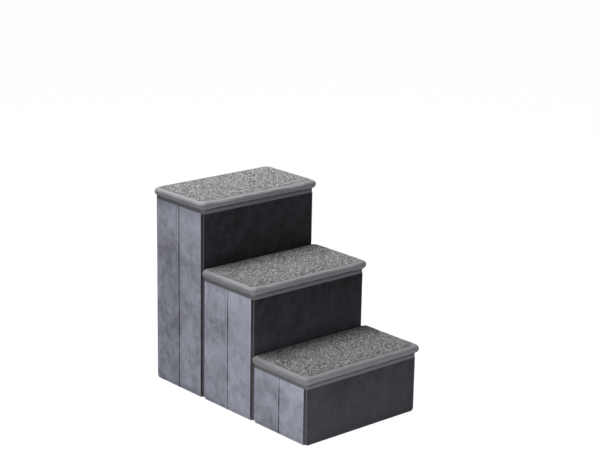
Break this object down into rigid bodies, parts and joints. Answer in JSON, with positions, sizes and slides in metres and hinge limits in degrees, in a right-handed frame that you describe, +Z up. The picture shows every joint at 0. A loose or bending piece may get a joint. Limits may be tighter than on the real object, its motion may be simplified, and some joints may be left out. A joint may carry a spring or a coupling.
{
  "type": "pet stairs",
  "caption": "Folding pet stairs of fabric covered boxes with padded, hinged carpet lids as treads and storage inside; the sides fold inwards at a middle seam.",
  "frame": {"origin": "on the floor, below the middle of the whole outline", "axes": "+X across the stairs to the right seen from the front, +Y from the lowest step to the highest, +Z up"},
  "size_m": [0.382, 0.5968, 0.5153],
  "materials": {
    "side_suede": "blue grey brushed suede cloth, short nap",
    "riser_suede": "anthracite brushed suede cloth, short nap",
    "lid_velour": "mid grey velour over padding",
    "rim_velour": "mid grey velour binding",
    "tread_carpet": "mottled grey loop carpet",
    "piping": "grey covered piping cord",
    "lined_board": "fibreboard faced with dark non-woven lining",
    "lining": "dark non-woven lining",
    "hook_and_loop": "black hook and loop strip"
  },
  "bodies": {
    "high_back": {"high_back_panel": "side_suede", "high_back_rim": "rim_velour", "high_lid_hinge_tape": "rim_velour", "high_floor_cloth": "lining"},
    "high_left_back": {"high_left_back_half": "side_suede", "high_left_back_rim": "rim_velour"},
    "high_left_front": {"high_left_front_half": "side_suede", "high_left_front_rim": "rim_velour"},
    "high_right_back": {"high_right_back_half": "side_suede", "high_right_back_rim": "rim_velour"},
    "high_right_front": {"high_right_front_half": "side_suede", "high_right_front_rim": "rim_velour"},
    "high_riser": {"middle_back_panel": "side_suede", "middle_back_rim": "rim_velour", "middle_lid_hinge_tape": "rim_velour", "middle_floor_cloth": "lining", "middle_joining_strips": "hook_and_loop", "high_riser_cover": "riser_suede", "high_riser_board": "lined_board", "high_riser_rim": "rim_velour", "high_riser_piping": "piping"},
    "high_lid": {"high_lid_border": "lid_velour", "high_lid_board": "lined_board", "high_lid_carpet": "tread_carpet"},
    "middle_left_back": {"middle_left_back_half": "side_suede", "middle_left_back_rim": "rim_velour"},
    "middle_left_front": {"middle_left_front_half": "side_suede", "middle_left_front_rim": "rim_velour"},
    "middle_right_back": {"middle_right_back_half": "side_suede", "middle_right_back_rim": "rim_velour"},
    "middle_right_front": {"middle_right_front_half": "side_suede", "middle_right_front_rim": "rim_velour"},
    "middle_riser": {"low_back_panel": "side_suede", "low_back_rim": "rim_velour", "low_lid_hinge_tape": "rim_velour", "low_floor_cloth": "lining", "low_joining_strips": "hook_and_loop", "middle_riser_cover": "riser_suede", "middle_riser_board": "lined_board", "middle_riser_rim": "rim_velour", "middle_riser_piping": "piping"},
    "middle_lid": {"middle_lid_border": "lid_velour", "middle_lid_board": "lined_board", "middle_lid_carpet": "tread_carpet"},
    "low_left_back": {"low_left_back_half": "side_suede", "low_left_back_rim": "rim_velour"},
    "low_left_front": {"low_left_front_half": "side_suede", "low_left_front_rim": "rim_velour"},
    "low_right_back": {"low_right_back_half": "side_suede", "low_right_back_rim": "rim_velour"},
    "low_right_front": {"low_right_front_half": "side_suede", "low_right_front_rim": "rim_velour"},
    "low_riser": {"low_riser_cover": "riser_suede", "low_riser_board": "lined_board", "low_riser_rim": "rim_velour", "low_riser_piping": "piping"},
    "low_lid": {"low_lid_border": "lid_velour", "low_lid_board": "lined_board", "low_lid_carpet": "tread_carpet"}
  },
  "joints": [
    {"name": "high_fold", "type": "hinge", "parent": "high_back", "child": "high_left_back", "pos_m": [-0.172, 0.2908, 0], "axis": [0, 0, 1], "range_deg": [0, 88], "deforming": ["high_floor_cloth"]},
    {"name": "high_left_seam", "type": "hinge", "parent": "high_left_back", "child": "high_left_front", "pos_m": [-0.18, 0.2018, 0], "axis": [0, 0, 1], "range_deg": [-176, 0]},
    {"name": "high_left_front_corner", "type": "hinge", "parent": "high_left_front", "child": "high_riser", "pos_m": [-0.172, 0.1128, 0], "axis": [0, 0, 1], "range_deg": [0, 88]},
    {"name": "high_right_back_corner", "type": "hinge", "parent": "high_back", "child": "high_right_back", "pos_m": [0.172, 0.2908, 0], "axis": [0, 0, 1], "range_deg": [-88, 0]},
    {"name": "high_right_seam", "type": "hinge", "parent": "high_right_back", "child": "high_right_front", "pos_m": [0.18, 0.2018, 0], "axis": [0, 0, 1], "range_deg": [0, 176]},
    {"name": "high_lid_hinge", "type": "hinge", "parent": "high_back", "child": "high_lid", "pos_m": [0, 0.28765, 0.50425], "axis": [-1, 0, 0], "range_deg": [0, 105]},
    {"name": "middle_fold", "type": "hinge", "parent": "high_riser", "child": "middle_left_back", "pos_m": [-0.172, 0.0944, 0], "axis": [0, 0, 1], "range_deg": [0, 88], "deforming": ["middle_floor_cloth"]},
    {"name": "middle_left_seam", "type": "hinge", "parent": "middle_left_back", "child": "middle_left_front", "pos_m": [-0.18, 0.0054, 0], "axis": [0, 0, 1], "range_deg": [-176, 0]},
    {"name": "middle_left_front_corner", "type": "hinge", "parent": "middle_left_front", "child": "middle_riser", "pos_m": [-0.172, -0.0836, 0], "axis": [0, 0, 1], "range_deg": [0, 88]},
    {"name": "middle_right_back_corner", "type": "hinge", "parent": "high_riser", "child": "middle_right_back", "pos_m": [0.172, 0.0944, 0], "axis": [0, 0, 1], "range_deg": [-88, 0]},
    {"name": "middle_right_seam", "type": "hinge", "parent": "middle_right_back", "child": "middle_right_front", "pos_m": [0.18, 0.0054, 0], "axis": [0, 0, 1], "range_deg": [0, 176]},
    {"name": "middle_lid_hinge", "type": "hinge", "parent": "high_riser", "child": "middle_lid", "pos_m": [0, 0.09125, 0.33425], "axis": [-1, 0, 0], "range_deg": [0, 85]},
    {"name": "low_fold", "type": "hinge", "parent": "middle_riser", "child": "low_left_back", "pos_m": [-0.172, -0.102, 0], "axis": [0, 0, 1], "range_deg": [0, 88], "deforming": ["low_floor_cloth"]},
    {"name": "low_left_seam", "type": "hinge", "parent": "low_left_back", "child": "low_left_front", "pos_m": [-0.18, -0.191, 0], "axis": [0, 0, 1], "range_deg": [-176, 0]},
    {"name": "low_left_front_corner", "type": "hinge", "parent": "low_left_front", "child": "low_riser", "pos_m": [-0.172, -0.28, 0], "axis": [0, 0, 1], "range_deg": [0, 88]},
    {"name": "low_right_back_corner", "type": "hinge", "parent": "middle_riser", "child": "low_right_back", "pos_m": [0.172, -0.102, 0], "axis": [0, 0, 1], "range_deg": [-88, 0]},
    {"name": "low_right_seam", "type": "hinge", "parent": "low_right_back", "child": "low_right_front", "pos_m": [0.18, -0.191, 0], "axis": [0, 0, 1], "range_deg": [0, 176]},
    {"name": "low_lid_hinge", "type": "hinge", "parent": "middle_riser", "child": "low_lid", "pos_m": [0, -0.10515, 0.16425], "axis": [-1, 0, 0], "range_deg": [0, 85]}
  ],
  "couplings": [
    {"joint": "high_left_seam", "follows": "high_fold", "ratio": -2},
    {"joint": "high_left_front_corner", "follows": "high_fold", "ratio": 1},
    {"joint": "high_right_back_corner", "follows": "high_fold", "ratio": -1},
    {"joint": "high_right_seam", "follows": "high_fold", "ratio": 2},
    {"joint": "middle_left_seam", "follows": "middle_fold", "ratio": -2},
    {"joint": "middle_left_front_corner", "follows": "middle_fold", "ratio": 1},
    {"joint": "middle_right_back_corner", "follows": "middle_fold", "ratio": -1},
    {"joint": "middle_right_seam", "follows": "middle_fold", "ratio": 2},
    {"joint": "low_left_seam", "follows": "low_fold", "ratio": -2},
    {"joint": "low_left_front_corner", "follows": "low_fold", "ratio": 1},
    {"joint": "low_right_back_corner", "follows": "low_fold", "ratio": -1},
    {"joint": "low_right_seam", "follows": "low_fold", "ratio": 2}
  ]
}
